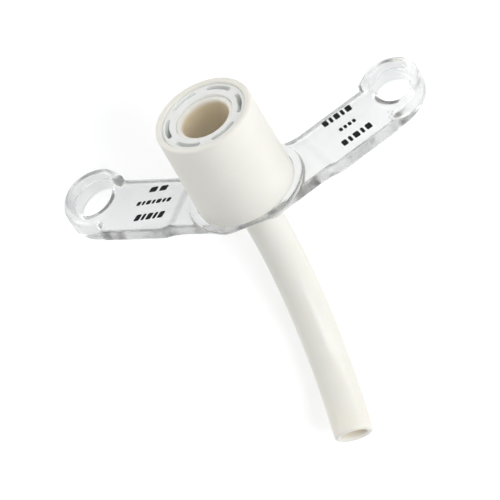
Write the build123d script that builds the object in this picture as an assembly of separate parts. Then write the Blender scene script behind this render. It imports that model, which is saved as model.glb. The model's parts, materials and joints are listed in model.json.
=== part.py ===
from build123d import *
import math
import os

# Paediatric tracheostomy tube without a cuff: a curved cannula bonded into a
# clear neck flange, with a 15 mm cone connector moulded over its flared end.
# Millimetres. The pieces are drawn in the neck frame: its origin is on the tube's
# axis where the cone leaves the flange, z runs out of the open mouth, y towards
# the head and x along the shoulders. The finished tube is then laid down as it
# rests on a table, on the head-side ends of both wings and the bend of the cannula.

# Cannula
tube_outer = 6.0
tube_bore = 4.0
tube_straight = 7.0
bend_radius = 35.5
bend_angle = 60.0
tip_rounding = 0.45

# Flared mouth of the cannula inside the connector
mouth_bore = 7.4
mouth_wall = 0.75
funnel_length = 3.2
lip_rounding = 0.18
mouth_rounding = 0.45

# Cone connector: the standard 15 mm male cone, tapered 1 in 40 on diameter
cone_base = 15.47
cone_taper = 1 / 40
cone_length = 15.4
cone_bore = 13.2
cone_rim_rounding = 0.42
socket_depth = 0.5

# Clear insert between the cone and the cannula, with cored slots in its top
core_recess = 0.4
mouth_recess = 0.8
slot_count = 6
slot_middle = 11.4
slot_width = 0.7
slot_sweep = 36.0
slot_depth = 9.0
core_rounding = 0.2

# Gap left for the cement between bonded pieces
bond_gap = 0.03

# Neck flange: a round hub and two wings that rise towards the head
hub_diameter = 18.2
hub_back_diameter = 13.8
hub_side = 0.5
hub_rounding = 0.3
hub_flat = 8.9
hub_back_flat = 5.7
sleeve_wall = 0.9
sleeve_length = 0.9

wing_rise = 25.2
wing_length = 31.1
wing_above = 3.2
wing_below = 7.25
wing_drop = 0.8
wing_thickness = 2.0
wing_rounding = 0.3
hub_blend = 6.0

# Narrow root of each wing, and the thicker blade that follows it
root_length = 10.8
root_below = 6.75
root_ramp = 1.4
root_blend = 1.6
blade_step = 0.25

# Eyelet at the end of each wing, with a raised horseshoe rim
end_axis = 0.1
rim_radius = 4.6
rim_width = 1.5
rim_length = 8.5
rim_height = 1.3
rim_rounding = 0.7
rim_slope = 14.0
rim_blend = 2.5
eyelet_inset = 4.8
eyelet_axis = -0.5
eyelet_length = 4.9
eyelet_width = 6.6
eyelet_front_rounding = 0.4
eyelet_back_rounding = 1.1

# How close two places are when they count as the same, and how far from the eyelet's
# axis the middle of a lip may lie
near = 1e-3
lip_search = 0.01

# An edge whose direction rises by more than this share is an upright one
upright = 0.5

# Values that follow from the sizes above
tube_r = tube_outer / 2
bore_r = tube_bore / 2
mouth_r = mouth_bore / 2
neck_r = mouth_r + mouth_wall
cone_r = cone_base / 2
cone_top_r = cone_r - cone_length * cone_taper / 2
cone_bore_r = cone_bore / 2
foot_r = cone_r + socket_depth * cone_taper / 2
hub_r = hub_diameter / 2
wing_front = -wing_drop
wing_back = wing_front - wing_thickness
blade_back = wing_back - blade_step
rim_start = wing_length - rim_length
rim_front = wing_front + rim_height
eyelet_reach = wing_length - eyelet_inset
hub_back_r = hub_back_diameter / 2
web_r = hub_r - (wing_drop - hub_side) * (hub_r - hub_back_r) / (-wing_back - hub_side)
core_top = cone_length - core_recess
mouth_top = cone_length - mouth_recess


def revolved(points):
    """Turn an outline of (radius, height) points about the tube's axis."""
    outline = Polyline(*[(r, 0, z) for r, z in points], close=True)
    return revolve(make_face(outline), Axis.Z)


def circles_at(solid, height, radius):
    """Pick the circular edges of a solid at one height and radius."""
    return solid.edges().filter_by(GeomType.CIRCLE).filter_by(
        lambda e: abs(e.arc_center.Z - height) < near and abs(e.radius - radius) < near
    )


def make_cannula():
    """Curved tube, flared by a funnel into the mouth of the connector."""
    flare = revolved([
        (bore_r, 0), (tube_r, 0), (neck_r, funnel_length), (neck_r, mouth_top),
        (mouth_r, mouth_top), (mouth_r, funnel_length),
    ])
    flare = fillet(circles_at(flare, mouth_top, neck_r), lip_rounding)
    flare = fillet(circles_at(flare, mouth_top, mouth_r), mouth_rounding)
    ring = Circle(tube_r) - Circle(bore_r)
    straight = extrude(ring, -tube_straight)
    bend_axis = Axis((0, -bend_radius, -tube_straight), (-1, 0, 0))
    bend = revolve(Pos(0, 0, -tube_straight) * ring, bend_axis, bend_angle)
    ends = bend.faces().filter_by(GeomType.PLANE).sort_by(Axis.Z)
    bend = fillet(ends[0].edges(), tip_rounding)
    return flare + straight + bend


def make_shell():
    """Cream outer cone, open at both ends, with a rounded rim."""
    shell = revolved([
        (cone_bore_r, -socket_depth), (foot_r, -socket_depth),
        (cone_top_r, cone_length), (cone_bore_r, cone_length),
    ])
    rim = circles_at(shell, cone_length, cone_top_r) + circles_at(shell, cone_length, cone_bore_r)
    return fillet(rim, cone_rim_rounding)


def make_core():
    """Clear insert that holds the cannula in the cone, with arc slots from the top."""
    inner = neck_r + bond_gap
    outer = cone_bore_r - bond_gap
    core = revolved([
        (tube_r + bond_gap, -socket_depth), (outer, -socket_depth), (outer, core_top),
        (inner, core_top), (inner, funnel_length), (tube_r + bond_gap, 0),
    ])
    rims = circles_at(core, core_top, outer) + circles_at(core, core_top, inner)
    core = fillet(rims, core_rounding)
    arc = CenterArc((0, 0), slot_middle / 2, -slot_sweep / 2, slot_sweep)
    slot = extrude(Pos(0, 0, core_top - slot_depth) * SlotArc(arc, slot_width), slot_depth)
    for place in PolarLocations(0, slot_count):
        core -= place * slot
    return core


def wing_outline():
    """Outline of the right wing, drawn along its own length from the tube's axis."""
    below_r = end_axis + wing_below
    ramp_middle = root_length + root_ramp / 2
    below_centre = (wing_length - below_r, end_axis)
    above_centre = (wing_length - rim_radius, end_axis)
    lift = wing_above - end_axis
    lift_angle = math.degrees(math.asin(lift / rim_radius))
    meet = above_centre[0] - rim_radius * math.cos(math.radians(lift_angle))
    corners = [
        (meet, wing_above), (0, wing_above), (0, -root_below), (root_length, -root_below),
        (root_length + root_ramp, -wing_below), (below_centre[0], -wing_below),
    ]
    outline = (
        Polyline(*corners)
        + CenterArc(below_centre, below_r, -90, 90)
        + CenterArc(above_centre, rim_radius, 0, 180 - lift_angle)
    )
    face = make_face(outline.edges())
    ramp = face.vertices().filter_by(lambda v: v.Y < 0 and abs(v.X - ramp_middle) < root_ramp)
    face = fillet(ramp, root_blend)
    step = face.vertices().filter_by(lambda v: abs(v.X - meet) < near and v.Y > 0)
    return fillet(step, rim_blend)


def beyond(reach):
    """Half plane of a wing from a distance along it to past its tip."""
    return Pos(reach + wing_length / 2, 0) * Rectangle(wing_length, 2 * wing_length)


def eyelet_lips(end):
    """Pick the two rims of the eyelet, from the back to the front."""
    return end.edges().filter_by(
        lambda e: abs(e.center(CenterOf.MASS).X - eyelet_reach) < lip_search
        and abs(e.center(CenterOf.MASS).Y - eyelet_axis) < lip_search
    ).sort_by(Axis.Z)


def make_end(outline):
    """Thick end of a wing, with the horseshoe rim standing round a sunk ledge."""
    end = extrude(Pos(0, 0, blade_back) * (outline & beyond(rim_start)), rim_front - blade_back)
    flats = end.faces().filter_by(Axis.Z).sort_by(Axis.Z)
    back = flats[0].edges().filter_by(lambda e: e.center().X > rim_start + rim_rounding)
    end = fillet(flats[-1].edges() + back, rim_rounding)
    ledge = Pos(0, 0, wing_front) * offset(outline, -rim_width)
    end -= extrude(ledge, rim_height, taper=-rim_slope)
    oval = Pos(eyelet_reach, eyelet_axis, blade_back) * Ellipse(eyelet_length / 2, eyelet_width / 2)
    end -= extrude(oval, rim_front - blade_back)
    end = fillet(eyelet_lips(end)[-1], eyelet_front_rounding)
    return fillet(eyelet_lips(end)[0], eyelet_back_rounding)


def make_web(outline):
    """Both wings as one plate as far as their ends, blended into the hub on the head side."""
    reach = Rot(0, 0, wing_rise) * (outline - beyond(rim_start))
    upper = Circle(web_r) & Pos(0, hub_r) * Rectangle(hub_diameter, hub_diameter)
    plan = reach + mirror(reach, Plane.YZ) + upper
    inner = plan.vertices().filter_by(
        lambda v: v.Y > 0 and abs(math.hypot(v.X, v.Y) - web_r) < near
    )
    plan = fillet(inner, hub_blend)
    web = extrude(Pos(0, 0, blade_back) * plan, wing_front - blade_back)
    rise = math.radians(wing_rise)
    long_way = web.edges().filter_by(
        lambda e: abs(e.tangent_at(0.5).Z) < upright
        and abs(e.center().X) * math.cos(rise) + e.center().Y * math.sin(rise) < rim_start - near
    )
    web = fillet(long_way, wing_rounding)
    root_end = root_length + root_ramp
    step = Polyline(
        (-root_end, 0, blade_back), (root_end, 0, blade_back), (root_length, 0, wing_back),
        (-root_length, 0, wing_back), close=True
    )
    thin = Rot(0, 0, wing_rise) * extrude(make_face(step), wing_length, both=True)
    return web - (thin & mirror(thin, Plane.YZ))


def make_flange():
    """Clear neck flange: hub, sleeve round the cannula, and the two raised wings."""
    outline = wing_outline()
    end = Rot(0, 0, wing_rise) * make_end(outline)
    hub = revolved([
        (0, wing_back), (hub_back_r, wing_back), (hub_r, -hub_side), (hub_r, 0), (0, 0),
    ])
    hub = fillet(circles_at(hub, 0, hub_r), hub_rounding)
    flange = hub + make_web(outline) + end + mirror(end, Plane.YZ)
    slope = Plane(
        (0, -hub_flat, 0), x_dir=(1, 0, 0), z_dir=(0, wing_back, hub_back_flat - hub_flat)
    )
    flange -= extrude(slope * Rectangle(hub_diameter, hub_diameter), hub_r)
    sleeve_end = wing_back - sleeve_length
    flange += extrude(Pos(0, 0, sleeve_end) * Circle(tube_r + sleeve_wall), sleeve_length)
    flange -= extrude(Pos(0, 0, -socket_depth) * Circle(foot_r + bond_gap), socket_depth)
    flange -= extrude(Pos(0, 0, sleeve_end) * Circle(tube_r + bond_gap), -sleeve_end)
    return flange


def rest_turn():
    """Turn about x that lays the tube on its wing ends and the back of its bend."""
    rise = math.radians(wing_rise)
    end_y = (wing_length - rim_radius) * math.sin(rise) + end_axis * math.cos(rise) + rim_radius
    heel = (end_y - rim_rounding, blade_back + rim_rounding)
    span = (heel[0] + bend_radius, heel[1] + tube_straight)
    belly = bend_radius + tube_r - rim_rounding
    lean = math.acos(belly / math.hypot(*span)) - math.atan2(span[1], span[0])
    return -90 + math.degrees(lean)


pieces = {
    "cannula": make_cannula(),
    "connector_shell": make_shell(),
    "connector_core": make_core(),
    "neck_flange": make_flange(),
}
turn = Rot(rest_turn(), 0, 0)
laid = {name: turn * piece for name, piece in pieces.items()}
box = Compound(list(laid.values())).bounding_box()
ground = Pos(0, -box.center().Y, -box.min.Z)

os.makedirs("parts", exist_ok=True)
for name, piece in laid.items():
    export_step(ground * piece, f"parts/{name}.step")
print("laid down by turning", rest_turn(), "about x, then moving", ground.position)
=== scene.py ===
import json
import logging
import math
from dataclasses import dataclass, field
from enum import Enum
from typing import Any, Sequence

import bmesh
import bpy
from mathutils import Matrix, Vector

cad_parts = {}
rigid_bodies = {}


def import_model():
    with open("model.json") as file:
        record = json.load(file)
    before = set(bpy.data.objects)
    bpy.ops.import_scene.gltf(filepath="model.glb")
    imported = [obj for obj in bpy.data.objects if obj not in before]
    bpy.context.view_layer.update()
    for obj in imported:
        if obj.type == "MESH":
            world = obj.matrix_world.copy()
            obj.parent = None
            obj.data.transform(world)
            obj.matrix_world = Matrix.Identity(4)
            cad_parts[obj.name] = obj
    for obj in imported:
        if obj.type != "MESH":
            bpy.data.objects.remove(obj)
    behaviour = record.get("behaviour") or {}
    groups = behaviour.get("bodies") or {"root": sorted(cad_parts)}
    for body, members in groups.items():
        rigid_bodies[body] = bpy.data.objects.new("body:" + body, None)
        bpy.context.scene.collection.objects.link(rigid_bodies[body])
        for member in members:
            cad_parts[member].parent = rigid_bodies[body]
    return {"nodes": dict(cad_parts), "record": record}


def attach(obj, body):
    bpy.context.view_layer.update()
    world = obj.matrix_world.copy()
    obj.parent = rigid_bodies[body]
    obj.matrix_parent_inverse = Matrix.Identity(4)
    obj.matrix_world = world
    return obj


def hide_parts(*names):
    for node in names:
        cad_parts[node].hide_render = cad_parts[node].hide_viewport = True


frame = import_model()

# A paediatric tracheostomy tube without a cuff: a curved cream cannula, a clear neck
# flange and a 15 mm cone connector. It lies as it rests on a table. The pieces are
# drawn in the neck frame, whose origin is on the tube's axis where the cone leaves
# the flange: z runs out of the open mouth, y towards the head, x along the wings.
# Sizes are in millimetres and angles in degrees, unless the words beside them say otherwise.

MM = 0.001
ROOT_BODY = "root"
# Mesh attribute with the depth in the bore, which drives the bore's painted shade and painted
# light.
PAINTED_BORE_SHADING_ATTRIBUTE = "bore"
# In metres: the centre of the cone's mount above the origin of the neck frame.
CONE_MOUNT_HEIGHT = 7.5 * MM
# In metres: nearer points of a finished mesh, and of a turned outline, are merged.
WELD_DISTANCE = 1e-7
SEAM_DISTANCE = 1e-6
# In metres: the straight run and the bend radius of a piece that doesn't bend.
UNBENT = 1.0

log = logging.getLogger("tracheostomy_tube")


class Slot(Enum):
    """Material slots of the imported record."""

    CANNULA = "cream_pvc"
    CONE = "cream_connector"
    CORE = "clear_core"
    FLANGE = "clear_pvc"
    PRINT = "black_print"


def linear(code: str) -> tuple[float, float, float, float]:
    """Turn an sRGB hex colour into linear values with full alpha.

    Args:
        code: Six hex digits, such as "f2efe4".

    Returns:
        Red, green, blue and alpha.
    """
    low, slope, offset, gamma = 0.04045, 12.92, 0.055, 2.4
    parts = [int(code[i:i + 2], 16) / 255 for i in (0, 2, 4)]
    parts = [p / slope if p <= low else ((p + offset) / (1 + offset)) ** gamma for p in parts]
    return (*parts, 1.0)


def add_node(tree: bpy.types.NodeTree, kind: str, links: dict[Any, Any] | None = None,
             **settings: Any) -> bpy.types.Node:
    """Add one node, set its properties and link or set its inputs.

    Args:
        tree: Node tree that gets the node.
        kind: Blender's identifier of the node.
        links: Input name or index to an output socket or a constant.
        **settings: Properties of the node.

    Returns:
        The new node.
    """
    node = tree.nodes.new(kind)
    for name, value in settings.items():
        setattr(node, name, value)
    for key, value in (links or {}).items():
        if isinstance(value, bpy.types.NodeSocket):
            tree.links.new(value, node.inputs[key])
        else:
            node.inputs[key].default_value = value
    return node


def new_material(name: str) -> tuple[bpy.types.Material, bpy.types.NodeTree]:
    """Make an empty node material.

    Args:
        name: The material's name.

    Returns:
        The material and its node tree.
    """
    material = bpy.data.materials.new(name)
    material.use_nodes = True
    material.node_tree.nodes.clear()
    return material, material.node_tree


@dataclass(frozen=True)
class Noise:
    """A pattern of a surface: the size of its patches, the layers of finer ones in it,
    how strong those are, and its height where it is a relief."""

    size: float
    layers: float = 2.0
    strength: float = 0.5
    height: float = 0.0


@dataclass(frozen=True)
class CreamPvc:
    """Injection-moulded PVC, cream and slightly translucent: light sinks in a little,
    so shade stays warm, and the skin has a soft satin shine."""

    name: str
    colour: str
    shade: str
    roughness: float
    glow_weight: float
    glow_mm: float
    # Colours of painted shade and painted light down the bore, from 0 at its mouth to 1 deep
    # inside.
    bore: tuple[tuple[float, str], ...] = ()
    # Slow drift from the colour to the shade, and from glossier to duller.
    cloud: Noise = Noise(7.0)
    # The mould's own grain is finer than a pixel, so it is drawn coarse enough to show.
    grain: Noise = Noise(0.35, layers=3.0, strength=0.6, height=0.004)
    glossier: float = 0.05
    duller: float = 0.07
    ior: float = 1.53
    # Red light sinks in further than blue.
    glow_reach: tuple[float, float, float] = (1.0, 0.86, 0.62)

    def build(self) -> bpy.types.Material:
        """Make the material.

        Returns:
            The finished material.
        """
        material, tree = new_material(self.name)
        place = add_node(tree, "ShaderNodeTexCoord")
        cloud = add_node(tree, "ShaderNodeTexNoise", {
            "Vector": place.outputs["Object"], "Scale": 1 / (self.cloud.size * MM),
            "Detail": self.cloud.layers, "Roughness": self.cloud.strength})
        tint = add_node(tree, "ShaderNodeMix", {
            0: cloud.outputs["Fac"], 6: linear(self.colour), 7: linear(self.shade)},
            data_type="RGBA")
        # Painted shade and painted light in the bore: inside it, a ramp on the depth there takes
        # the place of the colour.
        if self.bore:
            depth = add_node(tree, "ShaderNodeAttribute", attribute_name=PAINTED_BORE_SHADING_ATTRIBUTE)
            ramp = add_node(tree, "ShaderNodeValToRGB", {0: depth.outputs["Fac"]})
            stops = ramp.color_ramp.elements
            for stop, (deep, code) in zip((stops[0], stops[1]), self.bore[:2]):
                stop.position, stop.color = deep, linear(code)
            for deep, code in self.bore[2:]:
                stops.new(deep).color = linear(code)
            inside = add_node(tree, "ShaderNodeMath", {
                0: depth.outputs["Fac"], 1: 0.0}, operation="GREATER_THAN")
            tint = add_node(tree, "ShaderNodeMix", {
                0: inside.outputs[0], 6: tint.outputs[2], 7: ramp.outputs[0]},
                data_type="RGBA")
        grain = add_node(tree, "ShaderNodeTexNoise", {
            "Vector": place.outputs["Object"], "Scale": 1 / (self.grain.size * MM),
            "Detail": self.grain.layers, "Roughness": self.grain.strength})
        skin = add_node(tree, "ShaderNodeBump", {
            "Height": grain.outputs["Fac"], "Distance": self.grain.height * MM,
            "Strength": 1.0})
        gloss = add_node(tree, "ShaderNodeMapRange", {
            0: cloud.outputs["Fac"], 3: self.roughness - self.glossier,
            4: self.roughness + self.duller})
        shader = add_node(tree, "ShaderNodeBsdfPrincipled", {
            "Base Color": tint.outputs[2], "Roughness": gloss.outputs[0],
            "IOR": self.ior, "Normal": skin.outputs[0],
            "Subsurface Weight": self.glow_weight,
            "Subsurface Radius": self.glow_reach, "Subsurface Scale": self.glow_mm * MM})
        add_node(tree, "ShaderNodeOutputMaterial", {"Surface": shader.outputs[0]})
        return material


@dataclass(frozen=True)
class ClearPvc:
    """Injection-moulded clear PVC, nearly colourless: it bends what lies behind it, with
    slow waves from the mould and a skin that is not quite polished. Milk in it scatters
    part of the light. Lamplight passes through in a tint, so that the shadow stays pale."""

    name: str
    colour: str
    lamplight: str
    clearness: float = 1.0
    milk: float = 0.0
    milk_mm: float = 1.0
    wave: Noise = Noise(5.0, strength=0.45, height=0.02)
    roughness: float = 0.2
    glossier_share: float = 0.7
    duller_share: float = 1.4
    ior: float = 1.53

    def build(self) -> bpy.types.Material:
        """Make the material.

        Returns:
            The finished material.
        """
        material, tree = new_material(self.name)
        place = add_node(tree, "ShaderNodeTexCoord")
        wave = add_node(tree, "ShaderNodeTexNoise", {
            "Vector": place.outputs["Object"], "Scale": 1 / (self.wave.size * MM),
            "Detail": self.wave.layers, "Roughness": self.wave.strength})
        skin = add_node(tree, "ShaderNodeBump", {
            "Height": wave.outputs["Fac"], "Distance": self.wave.height * MM,
            "Strength": 1.0})
        gloss = add_node(tree, "ShaderNodeMapRange", {
            0: wave.outputs["Fac"], 3: self.roughness * self.glossier_share,
            4: self.roughness * self.duller_share})
        shader = add_node(tree, "ShaderNodeBsdfPrincipled", {
            "Base Color": linear(self.colour), "Roughness": gloss.outputs[0],
            "IOR": self.ior, "Normal": skin.outputs[0],
            "Transmission Weight": self.clearness, "Subsurface Weight": self.milk,
            "Subsurface Radius": (1.0, 1.0, 1.0), "Subsurface Scale": self.milk_mm * MM})
        path = add_node(tree, "ShaderNodeLightPath")
        passed = add_node(tree, "ShaderNodeBsdfTransparent", {"Color": linear(self.lamplight)})
        both = add_node(tree, "ShaderNodeMixShader", {
            0: path.outputs["Is Shadow Ray"], 1: shader.outputs[0], 2: passed.outputs[0]})
        add_node(tree, "ShaderNodeOutputMaterial", {"Surface": both.outputs[0]})
        return material


@dataclass(frozen=True)
class PadInk:
    """Pad-printed black ink: a thin dull film whose shine is slightly uneven."""

    name: str
    colour: str = "0a0a0a"
    roughness: float = 0.6
    unevenness: float = 0.1
    shine: float = 0.2
    speck: Noise = Noise(0.4)

    def build(self) -> bpy.types.Material:
        """Make the material.

        Returns:
            The finished material.
        """
        material, tree = new_material(self.name)
        place = add_node(tree, "ShaderNodeTexCoord")
        speck = add_node(tree, "ShaderNodeTexNoise", {
            "Vector": place.outputs["Object"], "Scale": 1 / (self.speck.size * MM),
            "Detail": self.speck.layers, "Roughness": self.speck.strength})
        gloss = add_node(tree, "ShaderNodeMapRange", {
            0: speck.outputs["Fac"], 3: self.roughness - self.unevenness,
            4: self.roughness + self.unevenness})
        shader = add_node(tree, "ShaderNodeBsdfPrincipled", {
            "Base Color": linear(self.colour), "Roughness": gloss.outputs[0],
            "Specular IOR Level": self.shine})
        add_node(tree, "ShaderNodeOutputMaterial", {"Surface": shader.outputs[0]})
        return material


@dataclass
class NeckFrame:
    """Place of the neck frame in the row, read from the cone's mount."""

    lay: Matrix = field(init=False)

    def __post_init__(self) -> None:
        """Work out the turn and the shift from the mount's axis and centre."""
        mounts = {mount["name"]: mount for mount in frame["record"]["mounts"]}
        cone = mounts["connector_cone"]
        axis = Vector(cone["axis"]).normalized()
        base = Vector(cone["pos_m"]) - axis * CONE_MOUNT_HEIGHT
        turn = -math.atan2(axis.y, axis.z)
        self.lay = Matrix.Translation(base) @ Matrix.Rotation(turn, 4, "X")


def link_object(name: str, mesh: bpy.types.Mesh) -> bpy.types.Object:
    """Put a mesh in the scene as an object at the origin.

    Args:
        name: The object's name.
        mesh: Its mesh.

    Returns:
        The new object.
    """
    piece = bpy.data.objects.new(name, mesh)
    bpy.context.scene.collection.objects.link(piece)
    return piece


def weld(piece: bpy.types.Object) -> bpy.types.Object:
    """Merge the doubles of a mesh and turn its faces outwards.

    Args:
        piece: Object with a plain closed mesh.

    Returns:
        The same object.
    """
    work = bmesh.new()
    work.from_mesh(piece.data)
    bmesh.ops.remove_doubles(work, verts=work.verts, dist=WELD_DISTANCE)
    bmesh.ops.recalc_face_normals(work, faces=work.faces)
    work.to_mesh(piece.data)
    work.free()
    return piece


def bake(piece: bpy.types.Object) -> bpy.types.Object:
    """Turn an object's modifiers into plain mesh, and remove them.

    Args:
        piece: Object with live modifiers.

    Returns:
        The same object with its result as its own mesh.
    """
    ready = piece.evaluated_get(bpy.context.evaluated_depsgraph_get())
    mesh = bpy.data.meshes.new_from_object(ready)
    piece.modifiers.clear()
    old, piece.data = piece.data, mesh
    bpy.data.meshes.remove(old)
    mesh.name = piece.name
    return piece


def lay_down(piece: bpy.types.Object, neck: NeckFrame) -> None:
    """Move a mesh from the neck frame to where the tube lies."""
    piece.data.transform(neck.lay)
    piece.data.update()


def dress(piece: bpy.types.Object, node: str = "") -> bpy.types.Object:
    """Let a piece ride on the part and hide the CAD node that it replaces.

    Args:
        piece: Finished object.
        node: CAD node that it replaces, if it replaces one.

    Returns:
        The same object.
    """
    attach(piece, ROOT_BODY)
    if node:
        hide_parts(node)
    return piece


def rounded(corners: Sequence[tuple[float, float, float]], steps: int = 7) -> list[Vector]:
    """Round the corners of a closed outline.

    Args:
        corners: Radius, height and rounding radius of each corner, in millimetres.
        steps: Straight pieces in each rounding.

    Returns:
        Points (radius, 0, height) in metres, in order.
    """
    points: list[Vector] = []
    places = [Vector((radius, 0, height)) * MM for radius, height, _ in corners]
    for i, (here, (_, _, soft)) in enumerate(zip(places, corners)):
        if soft == 0:
            points.append(here)
            continue
        before, after = places[i - 1], places[(i + 1) % len(places)]
        back, ahead = (before - here).normalized(), (after - here).normalized()
        half = back.angle(ahead) / 2
        reach = soft * MM / math.tan(half)
        centre = here + (back + ahead).normalized() * (soft * MM / math.sin(half))
        start, end = here + back * reach - centre, here + ahead * reach - centre
        swing = start.angle(end)
        for k in range(steps + 1):
            share = k / steps
            arm = start * math.sin((1 - share) * swing) + end * math.sin(share * swing)
            points.append(centre + arm / math.sin(swing))
    return points


def divided(points: Sequence[Vector], longest: float) -> list[Vector]:
    """Split the long runs of a closed outline, so that it can bend.

    Args:
        points: The outline's points, in metres.
        longest: Longest run that may stay, in metres.

    Returns:
        The points with more between them.
    """
    out: list[Vector] = []
    for i, here in enumerate(points):
        there = points[(i + 1) % len(points)]
        parts = max(1, math.ceil((there - here).length / longest))
        out += [here.lerp(there, k / parts) for k in range(parts)]
    return out


class ShapeTree:
    """Geometry Nodes tree that takes a shape and named inputs, one of them the finish,
    and gives the finished shape."""

    def __init__(self, name: str, inputs: dict[str, str]) -> None:
        """Make the tree with its sockets.

        Args:
            name: The tree's name.
            inputs: Kind of socket of each named input.
        """
        self.tree = bpy.data.node_groups.new(name, "GeometryNodeTree")
        face = self.tree.interface
        face.new_socket("Shape", in_out="INPUT", socket_type="NodeSocketGeometry")
        self.ids: dict[str, str] = {}
        for label, kind in inputs.items():
            item = face.new_socket(label, in_out="INPUT", socket_type=f"NodeSocket{kind}")
            self.ids[label] = item.identifier
        face.new_socket("Piece", in_out="OUTPUT", socket_type="NodeSocketGeometry")
        self.given = add_node(self.tree, "NodeGroupInput")

    def work_out(self, kind: str, known: dict[str, Any],
                 steps: Sequence[tuple[Any, ...]]) -> None:
        """Add a chain of sums, in which each may use the results before it.

        Args:
            kind: Blender's identifier of the nodes that do the sums.
            known: Sockets by name, to which the results are added.
            steps: Name, operation and terms of each sum. A term is a name or a number.
        """
        for name, operation, *terms in steps:
            links = {i: known.get(term, term) for i, term in enumerate(terms)}
            known[name] = add_node(self.tree, kind, links, operation=operation).outputs[0]

    def end_with(self, shape: bpy.types.NodeSocket) -> None:
        """Make the result real, give it the finish and lead it out of the tree.

        Args:
            shape: Socket of the result.
        """
        real = add_node(self.tree, "GeometryNodeRealizeInstances", {"Geometry": shape})
        finish = add_node(self.tree, "GeometryNodeSetMaterial", {
            "Geometry": real.outputs[0], "Material": self.given.outputs["Finish"]})
        add_node(self.tree, "NodeGroupOutput", {"Piece": finish.outputs[0]})

    def apply(self, piece: bpy.types.Object, values: dict[str, Any]) -> bpy.types.Object:
        """Run the tree on a piece and keep the result as its plain mesh.

        Args:
            piece: Object whose mesh is the shape that goes in.
            values: Value of each named input.

        Returns:
            The same object, welded.
        """
        modifier = piece.modifiers.new(self.tree.name, "NODES")
        modifier.node_group = self.tree
        for label, value in values.items():
            modifier[self.ids[label]] = value
        return weld(bake(piece))


class TurnedTree(ShapeTree):
    """Tree that turns a closed outline about the tube's axis and bends what lies below
    the straight run round the bend's centre."""

    def __init__(self) -> None:
        """Build the tree once for all turned pieces."""
        super().__init__("turned_piece", {
            "Segments": "Int", "Straight": "Float", "Bend radius": "Float",
            "Finish": "Material"})
        tree, given = self.tree, self.given.outputs
        size = add_node(tree, "GeometryNodeAttributeDomainSize", {0: given["Shape"]},
                        component="MESH")
        index = add_node(tree, "GeometryNodeInputIndex")
        known = {"count": size.outputs["Point Count"], "index": index.outputs[0],
                 "segments": given["Segments"], "straight": given["Straight"],
                 "bend": given["Bend radius"]}
        self.work_out("FunctionNodeIntegerMath", known, (
            ("rows", "ADD", "count", 1),
            ("columns", "ADD", "segments", 1),
            ("row", "MODULO", "index", "rows"),
            ("step", "MODULO", "row", "count"),
            ("column", "DIVIDE_FLOOR", "index", "rows"),
        ))
        grid = add_node(tree, "GeometryNodeMeshGrid", {
            "Vertices X": known["columns"], "Vertices Y": known["rows"]})
        place = add_node(tree, "GeometryNodeInputPosition")
        spot = add_node(tree, "GeometryNodeSampleIndex", {
            "Geometry": given["Shape"], "Value": place.outputs[0], "Index": known["step"]},
            data_type="FLOAT_VECTOR")
        apart = add_node(tree, "ShaderNodeSeparateXYZ", {0: spot.outputs["Value"]})
        known |= {"radius": apart.outputs[0], "height": apart.outputs[2]}
        self.work_out("ShaderNodeMath", known, (
            ("share", "DIVIDE", "column", "segments"),
            ("angle", "MULTIPLY", "share", 2 * math.pi),
            ("cosine", "COSINE", "angle"),
            ("sine", "SINE", "angle"),
            ("across", "MULTIPLY", "radius", "cosine"),
            ("upward", "MULTIPLY", "radius", "sine"),
            ("depth", "MULTIPLY", "height", -1.0),
            ("below", "SUBTRACT", "depth", "straight"),
            ("turn", "DIVIDE", "below", "bend"),
            ("swing", "MAXIMUM", "turn", 0.0),
            ("arm", "ADD", "upward", "bend"),
            ("swing_cosine", "COSINE", "swing"),
            ("arm_out", "MULTIPLY", "arm", "swing_cosine"),
            ("bent_y", "SUBTRACT", "arm_out", "bend"),
            ("bend_start", "MULTIPLY", "straight", -1.0),
            ("straight_z", "MAXIMUM", "height", "bend_start"),
            ("swing_sine", "SINE", "swing"),
            ("arm_down", "MULTIPLY", "arm", "swing_sine"),
            ("bent_z", "SUBTRACT", "straight_z", "arm_down"),
        ))
        spread = add_node(tree, "ShaderNodeCombineXYZ", {
            0: known["across"], 1: known["bent_y"], 2: known["bent_z"]})
        moved = add_node(tree, "GeometryNodeSetPosition", {
            "Geometry": grid.outputs["Mesh"], "Position": spread.outputs[0]})
        closed = add_node(tree, "GeometryNodeMergeByDistance", {
            "Geometry": moved.outputs[0], "Distance": SEAM_DISTANCE})
        smooth = add_node(tree, "GeometryNodeSetShadeSmooth", {"Geometry": closed.outputs[0]})
        self.end_with(smooth.outputs[0])

    def make(self, name: str, outline: Sequence[Vector], finish: bpy.types.Material,
             segments: int, straight: float = UNBENT,
             bend_radius: float = UNBENT) -> bpy.types.Object:
        """Turn an outline into a closed piece in the neck frame.

        Args:
            name: Name of the new object.
            outline: Closed outline of (radius, 0, height), in metres.
            finish: Material of the piece.
            segments: Divisions round the axis.
            straight: Length of the straight run below the neck frame's origin, in metres.
            bend_radius: Radius of the bend that follows it, in metres.

        Returns:
            The baked object.
        """
        mesh = bpy.data.meshes.new(name)
        edges = [(i, (i + 1) % len(outline)) for i in range(len(outline))]
        mesh.from_pydata(outline, edges, [])
        return self.apply(link_object(name, mesh), {
            "Segments": segments, "Straight": straight, "Bend radius": bend_radius,
            "Finish": finish})


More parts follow.
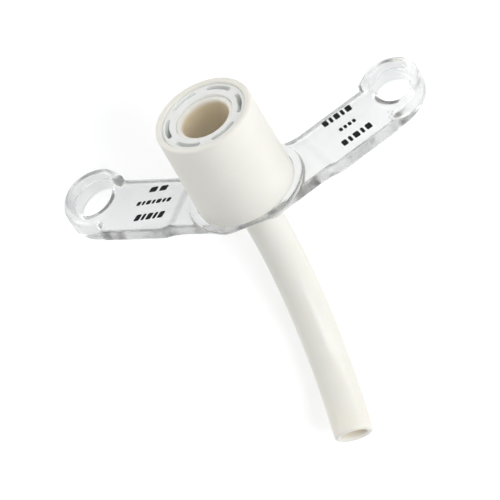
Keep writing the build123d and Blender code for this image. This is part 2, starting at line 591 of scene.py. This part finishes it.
class SlotTree(ShapeTree):
    """Tree that cores equal slots round the tube's axis."""

    def __init__(self) -> None:
        """Build the tree."""
        super().__init__("cored_slots", {
            "Cutter": "Object", "Count": "Int", "Finish": "Material"})
        tree, given = self.tree, self.given.outputs
        cutter = add_node(tree, "GeometryNodeObjectInfo", {"Object": given["Cutter"]})
        points = add_node(tree, "GeometryNodePoints", {"Count": given["Count"]})
        index = add_node(tree, "GeometryNodeInputIndex")
        known = {"index": index.outputs[0], "count": given["Count"]}
        self.work_out("ShaderNodeMath", known, (
            ("share", "DIVIDE", "index", "count"),
            ("angle", "MULTIPLY", "share", 2 * math.pi),
        ))
        turn = add_node(tree, "ShaderNodeCombineXYZ", {2: known["angle"]})
        copies = add_node(tree, "GeometryNodeInstanceOnPoints", {
            "Points": points.outputs[0], "Instance": cutter.outputs["Geometry"],
            "Rotation": turn.outputs[0]})
        solid = add_node(tree, "GeometryNodeRealizeInstances", {0: copies.outputs[0]})
        cut = add_node(tree, "GeometryNodeMeshBoolean", {
            "Mesh 1": given["Shape"], "Mesh 2": solid.outputs[0]},
            operation="DIFFERENCE", solver="EXACT")
        self.end_with(cut.outputs[0])


@dataclass
class Cannula:
    """Curved tube with its flared mouth."""

    outer: float = 6.0
    bore: float = 4.0
    straight: float = 7.0
    bend_radius: float = 35.5
    bend_angle: float = 60.0
    mouth_bore: float = 7.4
    mouth_wall: float = 0.75
    mouth_top: float = 14.6
    funnel: float = 3.2
    tip_rounding: float = 0.45
    lip_rounding: float = 0.18
    mouth_rounding: float = 0.5
    funnel_rounding: float = 3.0
    # How far in from the mouth, and from the tip, the bore's painted shade and painted light run.
    shade_depth: float = 12.0
    tip_shade_depth: float = 45.0
    segments: int = 96
    longest_run: float = 0.8
    # The bore's colours are painted shade and painted light: the cream lip, a tan painted shade
    # just inside, and paler painted light deeper in, where light would come through the walls.
    finish: CreamPvc = CreamPvc("cream_soft_pvc_moulded", colour="f5f2ea", shade="eeeadf",
                                roughness=0.3, glow_weight=0.5, glow_mm=1.8,
                                bore=((0.0, "f6f2ea"), (0.09, "e9dabf"), (0.5, "fdf3e2"),
                                      (1.0, "fffaf0")))

    @property
    def flare_radius(self) -> float:
        """Outer radius of the flared mouth."""
        return self.mouth_bore / 2 + self.mouth_wall

    def build(self, turned: TurnedTree, neck: NeckFrame) -> bpy.types.Object:
        """Make the tube and let it stand for its node.

        Args:
            turned: Tree that turns and bends outlines.
            neck: Where the neck frame lies.

        Returns:
            The finished object.
        """
        tube_r, bore_r, mouth_r = self.outer / 2, self.bore / 2, self.mouth_bore / 2
        tip = -(self.straight + self.bend_radius * math.radians(self.bend_angle))
        corners = [
            (bore_r, tip, self.tip_rounding), (tube_r, tip, self.tip_rounding),
            (tube_r, 0, self.funnel_rounding),
            (self.flare_radius, self.funnel, self.funnel_rounding),
            (self.flare_radius, self.mouth_top, self.lip_rounding),
            (mouth_r, self.mouth_top, self.mouth_rounding),
            (mouth_r, self.funnel, self.funnel_rounding), (bore_r, 0, self.funnel_rounding),
        ]
        outline = divided(rounded(corners), self.longest_run * MM)
        piece = turned.make("curved_cannula", outline, self.finish.build(), self.segments,
                            self.straight * MM, self.bend_radius * MM)
        # The bore's depth drives its painted shade and painted light.
        self.mark_painted_bore_shading(piece)
        lay_down(piece, neck)
        return dress(piece, "cannula")

    def mark_painted_bore_shading(self, piece: bpy.types.Object) -> None:
        """Note how deep in the bore each point lies, from 0 at a lip to 1, for the bore's painted
        shade and painted light. The bore is what lies inside the middle of the wall.

        Args:
            piece: The tube's object, still in the neck frame.
        """
        marks = piece.data.attributes.new(PAINTED_BORE_SHADING_ATTRIBUTE, "FLOAT", "POINT")
        for vertex in piece.data.vertices:
            place = vertex.co / MM
            drop, out = -self.straight - place.z, place.y + self.bend_radius
            swing = max(0.0, math.atan2(drop, out))
            off_y = math.hypot(drop, out) - self.bend_radius if swing > 0 else place.y
            flare = min(max(place.z / self.funnel, 0.0), 1.0)
            wide, narrow = self.mouth_bore + self.mouth_wall, (self.outer + self.bore) / 2
            wall_middle = (narrow + (wide - narrow) * flare) / 2
            to_tip = (math.radians(self.bend_angle) - swing) * self.bend_radius
            depth = min((self.mouth_top - place.z) / self.shade_depth,
                        to_tip / self.tip_shade_depth)
            inside = math.hypot(place.x, off_y) < wall_middle
            marks.data[vertex.index].value = min(max(depth, 0.0), 1.0) if inside else 0.0


@dataclass
class Connector:
    """Cone connector and its clear insert, which seats round the cannula's mouth."""

    cannula: Cannula
    cone_base: float = 15.47
    taper: float = 1 / 40
    length: float = 15.4
    bore: float = 13.2
    rim_rounding: float = 0.45
    inner_rim_rounding: float = 0.4
    foot_rounding: float = 0.05
    socket: float = 0.5
    gap: float = 0.03
    core_recess: float = 0.4
    core_rounding: float = 0.2
    core_rounding_steps: int = 4
    slot_count: int = 6
    slot_middle: float = 11.4
    slot_width: float = 0.7
    slot_sweep: float = 36.0
    slot_depth: float = 9.0
    slot_arc_steps: int = 16
    slot_end_steps: int = 6
    # How far the cutter of a slot stands out of the insert's top.
    cutter_excess: float = 1.0
    sharp_angle: float = 35.0
    segments: int = 144
    cone_finish: CreamPvc = CreamPvc("cream_hard_pvc_moulded", colour="f3f1ea", shade="ebe8df",
                                     roughness=0.42, glow_weight=0.15, glow_mm=1.2)
    core_finish: ClearPvc = ClearPvc("clear_hard_pvc_moulded", colour="fdfefc",
                                     lamplight="e6e8e8", clearness=0.08, milk=0.35,
                                     milk_mm=1.5)

    def build_shell(self, turned: TurnedTree, neck: NeckFrame) -> bpy.types.Object:
        """Make the cream cone.

        Args:
            turned: Tree that turns outlines.
            neck: Where the neck frame lies.

        Returns:
            The finished object.
        """
        bore_r = self.bore / 2
        foot_r = self.cone_base / 2 + self.socket * self.taper / 2
        top_r = self.cone_base / 2 - self.length * self.taper / 2
        corners = [
            (bore_r, -self.socket, self.foot_rounding),
            (foot_r, -self.socket, self.foot_rounding),
            (top_r, self.length, self.rim_rounding),
            (bore_r, self.length, self.inner_rim_rounding),
        ]
        piece = turned.make("cone_connector", rounded(corners), self.cone_finish.build(),
                            self.segments)
        lay_down(piece, neck)
        return dress(piece, "connector_shell")

    def build_core(self, turned: TurnedTree, neck: NeckFrame) -> bpy.types.Object:
        """Make the clear insert and core its slots.

        Args:
            turned: Tree that turns outlines.
            neck: Where the neck frame lies.

        Returns:
            The finished object.
        """
        outer, inner = self.bore / 2 - self.gap, self.cannula.flare_radius + self.gap
        root, top = self.cannula.outer / 2 + self.gap, self.length - self.core_recess
        corners = [
            (root, -self.socket, 0.0), (outer, -self.socket, 0.0),
            (outer, top, self.core_rounding), (inner, top, self.core_rounding),
            (inner, self.cannula.funnel, 0.0), (root, 0, 0.0),
        ]
        finish = self.core_finish.build()
        piece = turned.make("clear_insert", rounded(corners, self.core_rounding_steps), finish,
                            self.segments)
        cutter = self.slot_cutter(top)
        SlotTree().apply(piece, {"Cutter": cutter, "Count": self.slot_count, "Finish": finish})
        bpy.data.objects.remove(cutter)
        piece.data.set_sharp_from_angle(angle=math.radians(self.sharp_angle))
        lay_down(piece, neck)
        return dress(piece, "connector_core")

    def slot_outline(self) -> list[tuple[float, float]]:
        """Draw one slot, curved about the axis and with round ends.

        Returns:
            Points (x, y) of its closed outline.
        """
        middle, half = self.slot_middle / 2, self.slot_width / 2
        reach = math.radians(self.slot_sweep) / 2
        rim: list[tuple[float, float]] = []
        # The outer arc and the round end that follows it, then the inner arc and its end.
        for side, end in ((1, reach), (-1, math.pi - reach)):
            radius = middle + side * half
            for k in range(self.slot_arc_steps + 1):
                angle = side * reach * (2 * k / self.slot_arc_steps - 1)
                rim.append((radius * math.cos(angle), radius * math.sin(angle)))
            hub_x, hub_y = middle * math.cos(reach), side * middle * math.sin(reach)
            for k in range(1, self.slot_end_steps):
                angle = end + math.pi * k / self.slot_end_steps
                rim.append((hub_x + half * math.cos(angle), hub_y + half * math.sin(angle)))
        return rim

    def slot_cutter(self, top: float) -> bpy.types.Object:
        """Make the solid that cores one slot, from its floor to past the top face.

        Args:
            top: Height of the insert's top face.

        Returns:
            A helper object, not part of the tube.
        """
        rim = self.slot_outline()
        count = len(rim)
        heights = (top - self.slot_depth, top + self.cutter_excess)
        points = [(x * MM, y * MM, z * MM) for z in heights for x, y in rim]
        faces = [tuple(range(count))[::-1], tuple(range(count, 2 * count))]
        faces += [(i, (i + 1) % count, count + (i + 1) % count, count + i) for i in range(count)]
        mesh = bpy.data.meshes.new("slot_cutter")
        mesh.from_pydata(points, [], faces)
        return weld(link_object("slot_cutter", mesh))


@dataclass
class Flange:
    """Clear neck flange, softened from its solid."""

    voxel: float = 0.17
    soften_rounds: int = 6
    soften_share: float = 0.5
    finish: ClearPvc = ClearPvc("clear_soft_pvc_moulded", colour="f6f7f7",
                                lamplight="cccecf")

    def build(self, neck: NeckFrame) -> bpy.types.Object:
        """Make the moulded form from the solid's own shape.

        Args:
            neck: Where the neck frame lies.

        Returns:
            The finished object.
        """
        mesh = frame["nodes"]["neck_flange"].data.copy()
        mesh.name = "clear_neck_flange"
        mesh.materials.clear()
        mesh.transform(neck.lay.inverted())
        piece = weld(link_object("clear_neck_flange", mesh))
        remesh = piece.modifiers.new("remesh", "REMESH")
        remesh.mode = "VOXEL"
        remesh.voxel_size = self.voxel * MM
        remesh.use_smooth_shade = True
        soften = piece.modifiers.new("soften", "SMOOTH")
        soften.factor = self.soften_share
        soften.iterations = self.soften_rounds
        bake(piece)
        piece.data.materials.append(self.finish.build())
        weld(piece)
        lay_down(piece, neck)
        return dress(piece, "neck_flange")


@dataclass(frozen=True)
class PrintRow:
    """One row of plain marks: its middle, tilt and lean on the wing, the marks' height,
    their widths and the space between them. Side is 1 or -1 for the two wings."""

    side: int
    along: float
    across: float
    tilt: float
    lean: float
    tall: float
    widths: tuple[float, ...]
    space: float


@dataclass
class PrintMarks:
    """Rows of plain black marks where the wings are printed."""

    # Rise of the wings towards the head, and height of their front face.
    rise: float = 25.2
    front: float = -0.8
    # How far the ink stands out of the wing, and how far it reaches in.
    film: float = 0.03
    sunk: float = 0.01
    corner: float = 0.22
    corner_steps: int = 4
    rows: tuple[PrintRow, ...] = (
        PrintRow(-1, 15.66, 0.99, 8.0, 18.0, 1.0, (1.2, 1.2), 0.5),
        PrintRow(-1, 15.49, -1.62, 8.0, 18.0, 0.8, (0.6, 0.45, 0.7, 0.45, 0.75, 0.45, 0.6), 0.27),
        PrintRow(-1, 15.11, -4.53, 8.0, 18.0, 1.25, (0.85, 0.5, 0.85, 0.5, 0.85), 0.3),
        PrintRow(1, 17.36, 1.42, -4.0, 0.0, 1.3, (0.85, 0.5, 0.85, 0.5, 0.95), 0.33),
        PrintRow(1, 17.43, -1.74, -3.0, 0.0, 0.8, (0.55, 0.5, 0.55, 0.5), 0.25),
        PrintRow(1, 17.4, -4.73, -2.0, 0.0, 1.3, (0.85, 0.5, 0.95, 0.5, 0.95), 0.35),
    )
    finish: PadInk = PadInk("black_ink_pad_printed")

    def build(self, neck: NeckFrame) -> bpy.types.Object:
        """Make all the marks as one thin film.

        Args:
            neck: Where the neck frame lies.

        Returns:
            The finished object.
        """
        work = bmesh.new()
        for row in self.rows:
            start = -(sum(row.widths) + row.space * (len(row.widths) - 1)) / 2
            for width in row.widths:
                self.mark(work, row, start + width / 2, width)
                start += width + row.space
        mesh = bpy.data.meshes.new("print_marks")
        work.to_mesh(mesh)
        work.free()
        mesh.materials.append(self.finish.build())
        piece = weld(link_object("print_marks", mesh))
        lay_down(piece, neck)
        return dress(piece)

    def mark(self, work: bmesh.types.BMesh, row: PrintRow, middle: float,
             width: float) -> None:
        """Add one mark with rounded corners.

        Args:
            work: Mesh that gets it.
            row: Row that it belongs to.
            middle: Its middle along the row.
            width: Its width along the row.
        """
        lean = math.tan(math.radians(row.lean))
        turn = Matrix.Rotation(math.radians(self.rise * row.side + row.tilt), 3, "Z")
        wing = Matrix.Rotation(math.radians(self.rise * row.side), 3, "Z")
        centre = wing @ Vector((row.along * row.side, row.across, 0))
        rim: list[Vector] = []
        for quarter, (side_x, side_y) in enumerate(((1, 1), (-1, 1), (-1, -1), (1, -1))):
            hub_x = side_x * (width / 2 - self.corner)
            hub_y = side_y * (row.tall / 2 - self.corner)
            for step in range(self.corner_steps + 1):
                angle = math.pi / 2 * quarter + math.pi / 2 * step / self.corner_steps
                x = middle + hub_x + self.corner * math.cos(angle)
                y = hub_y + self.corner * math.sin(angle)
                rim.append(centre + turn @ Vector((x + y * lean, y, 0)))
        low, high = self.front - self.sunk, self.front + self.film
        bottom, top = [[work.verts.new((p.x * MM, p.y * MM, z * MM)) for p in rim]
                       for z in (low, high)]
        work.faces.new(bottom[::-1])
        work.faces.new(top)
        for i in range(len(rim)):
            j = (i + 1) % len(rim)
            work.faces.new((bottom[i], bottom[j], top[j], top[i]))


@dataclass(frozen=True)
class Lamp:
    """One soft square lamp, aimed at the tube from a height and a compass angle. Its
    size and distance are in metres."""

    name: str
    height_angle: float
    compass_angle: float
    watts: float
    tint: str = "ffffff"
    size: float = 0.45
    distance: float = 0.8

    def hang(self) -> None:
        """Put the lamp in the scene."""
        data = bpy.data.lights.new(self.name, "AREA")
        data.size = self.size
        data.energy = self.watts
        data.color = linear(self.tint)[:3]
        rise, compass = math.radians(self.height_angle), math.radians(self.compass_angle)
        level = math.cos(rise)
        way = Vector((level * math.cos(compass), level * math.sin(compass), math.sin(rise)))
        lamp = bpy.data.objects.new(self.name, data)
        lamp.location = way * self.distance
        lamp.rotation_euler = (-way).to_track_quat("-Z", "Y").to_euler()
        bpy.context.scene.collection.objects.link(lamp)


@dataclass(frozen=True)
class PhotoCamera:
    """Camera at the photograph's angle, from a fit to the outlines in the photograph.
    Right, down and ahead are the picture's own directions in the neck frame, and origin
    is that frame's origin along them, as the camera sees it. The nearest and farthest
    distances that it draws are in metres."""

    right: tuple[float, float, float] = (0.9142, -0.0704, -0.3990)
    down: tuple[float, float, float] = (-0.3412, -0.6647, -0.6647)
    ahead: tuple[float, float, float] = (-0.2185, 0.7438, -0.6317)
    origin: tuple[float, float, float] = (-0.72, -9.32, 600.0)
    lens: float = 295.6
    sensor: float = 36.0
    nearest: float = 0.01
    farthest: float = 20.0

    def stand(self, neck: NeckFrame) -> None:
        """Put the camera in the scene.

        Args:
            neck: Where the neck frame lies.
        """
        right, down, ahead = Vector(self.right), Vector(self.down), Vector(self.ahead)
        origin = Vector(self.origin) * MM
        turn = Matrix((right, -down, -ahead)).transposed().to_4x4()
        spot = -(right * origin.x + down * origin.y + ahead * origin.z)
        data = bpy.data.cameras.new("camera")
        data.lens = self.lens
        data.sensor_width = self.sensor
        data.clip_start = self.nearest
        data.clip_end = self.farthest
        camera = bpy.data.objects.new("camera", data)
        camera.matrix_world = neck.lay @ Matrix.Translation(spot) @ turn
        bpy.context.scene.collection.objects.link(camera)
        bpy.context.scene.camera = camera


def split_rays(tree: bpy.types.NodeTree) -> tuple[bpy.types.NodeSocket, bpy.types.NodeSocket]:
    """Tell the rays from the camera, and those that clear or shiny surfaces send on.

    Args:
        tree: Node tree of the floor or the world.

    Returns:
        Two sockets, each 1 for such a ray and 0 for any other.
    """
    path = add_node(tree, "ShaderNodeLightPath")
    sent_on = add_node(tree, "ShaderNodeMath", {
        0: path.outputs["Is Transmission Ray"], 1: path.outputs["Is Glossy Ray"]},
        operation="MAXIMUM")
    return path.outputs["Is Camera Ray"], sent_on.outputs[0]


@dataclass
class Studio:
    """Pale floor, soft lamps and the camera. The floor's size is in metres."""

    floor_size: float = 3.0
    floor_colour: str = "f4f4f4"
    # Light added to the floor as the camera sees it, and as clear surfaces show it.
    floor_lift: float = 0.37
    floor_glass_lift: float = 0.22
    # Strength of the room's light on the pieces, to the camera and in clear surfaces.
    # In those it sinks to a dark band at the horizon, from the high to the low height.
    sky_colour: str = "f2f4f6"
    sky: float = 0.55
    sky_seen: float = 1.0
    sky_glass: float = 0.75
    band: float = 0.3
    band_low: float = 0.05
    band_high: float = 0.45
    # How often light is followed on, in all, through glass and through clear shadows.
    bounces: int = 24
    glass_bounces: int = 20
    shadow_bounces: int = 16
    lamps: tuple[Lamp, ...] = (
        Lamp("key_lamp", 45.0, 337.5, 2.4),
        Lamp("side_lamp", 15.0, 0.0, 1.5),
        Lamp("back_lamp", 15.0, 135.0, 2.35, "fffcf6"),
    )
    camera: PhotoCamera = PhotoCamera()

    def build_floor(self) -> None:
        """Make the floor that stays white and keeps the shadow."""
        material, tree = new_material("matt_white_paper")
        from_camera, sent_on = split_rays(tree)
        in_glass = add_node(tree, "ShaderNodeMath", {0: sent_on, 1: self.floor_glass_lift},
                            operation="MULTIPLY")
        direct = add_node(tree, "ShaderNodeMath", {0: from_camera, 1: self.floor_lift},
                          operation="MULTIPLY")
        lift = add_node(tree, "ShaderNodeMath", {0: in_glass.outputs[0], 1: direct.outputs[0]},
                        operation="MAXIMUM")
        matt = add_node(tree, "ShaderNodeBsdfDiffuse", {"Color": linear(self.floor_colour)})
        glow = add_node(tree, "ShaderNodeEmission", {"Strength": lift.outputs[0]})
        both = add_node(tree, "ShaderNodeAddShader", {0: matt.outputs[0], 1: glow.outputs[0]})
        add_node(tree, "ShaderNodeOutputMaterial", {"Surface": both.outputs[0]})
        half = self.floor_size / 2
        mesh = bpy.data.meshes.new("floor")
        mesh.from_pydata([(-half, -half, 0), (half, -half, 0), (half, half, 0), (-half, half, 0)],
                         [], [(0, 1, 2, 3)])
        mesh.materials.append(material)
        floor = link_object("floor", mesh)

    def build_world(self) -> None:
        """Fill the room with soft light from all round."""
        world = bpy.data.worlds.new("studio")
        bpy.context.scene.world = world
        world.use_nodes = True
        tree = world.node_tree
        tree.nodes.clear()
        from_camera, sent_on = split_rays(tree)
        way = add_node(tree, "ShaderNodeTexCoord")
        apart = add_node(tree, "ShaderNodeSeparateXYZ", {0: way.outputs["Generated"]})
        in_glass = add_node(tree, "ShaderNodeMapRange", {
            0: apart.outputs[2], 1: self.band_low, 2: self.band_high,
            3: self.band, 4: self.sky_glass}, interpolation_type="SMOOTHSTEP")
        unseen = add_node(tree, "ShaderNodeMix", {
            0: sent_on, 2: self.sky, 3: in_glass.outputs[0]})
        strength = add_node(tree, "ShaderNodeMix", {
            0: from_camera, 2: unseen.outputs[0], 3: self.sky_seen})
        back = add_node(tree, "ShaderNodeBackground", {
            "Color": linear(self.sky_colour), "Strength": strength.outputs[0]})
        add_node(tree, "ShaderNodeOutputWorld", {0: back.outputs[0]})

    def build(self, neck: NeckFrame) -> None:
        """Set up floor, light and camera.

        Args:
            neck: Where the neck frame lies.
        """
        self.build_floor()
        self.build_world()
        for lamp in self.lamps:
            lamp.hang()
        self.camera.stand(neck)
        scene = bpy.context.scene
        scene.view_settings.view_transform = "Standard"
        scene.cycles.max_bounces = self.bounces
        scene.cycles.transmission_bounces = self.glass_bounces
        scene.cycles.transparent_max_bounces = self.shadow_bounces


def main() -> None:
    """Build the tube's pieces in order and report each."""
    logging.basicConfig(level=logging.INFO, format="%(name)s %(message)s")
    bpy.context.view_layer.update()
    neck = NeckFrame()
    turned = TurnedTree()
    cannula = Cannula()
    connector = Connector(cannula)
    pieces = (
        cannula.build(turned, neck),
        connector.build_shell(turned, neck),
        connector.build_core(turned, neck),
        Flange().build(neck),
        PrintMarks().build(neck),
    )
    for piece in pieces:
        log.info("%s: %d faces", piece.name, len(piece.data.polygons))
    Studio().build(neck)


if __name__ == "__main__":
    main()
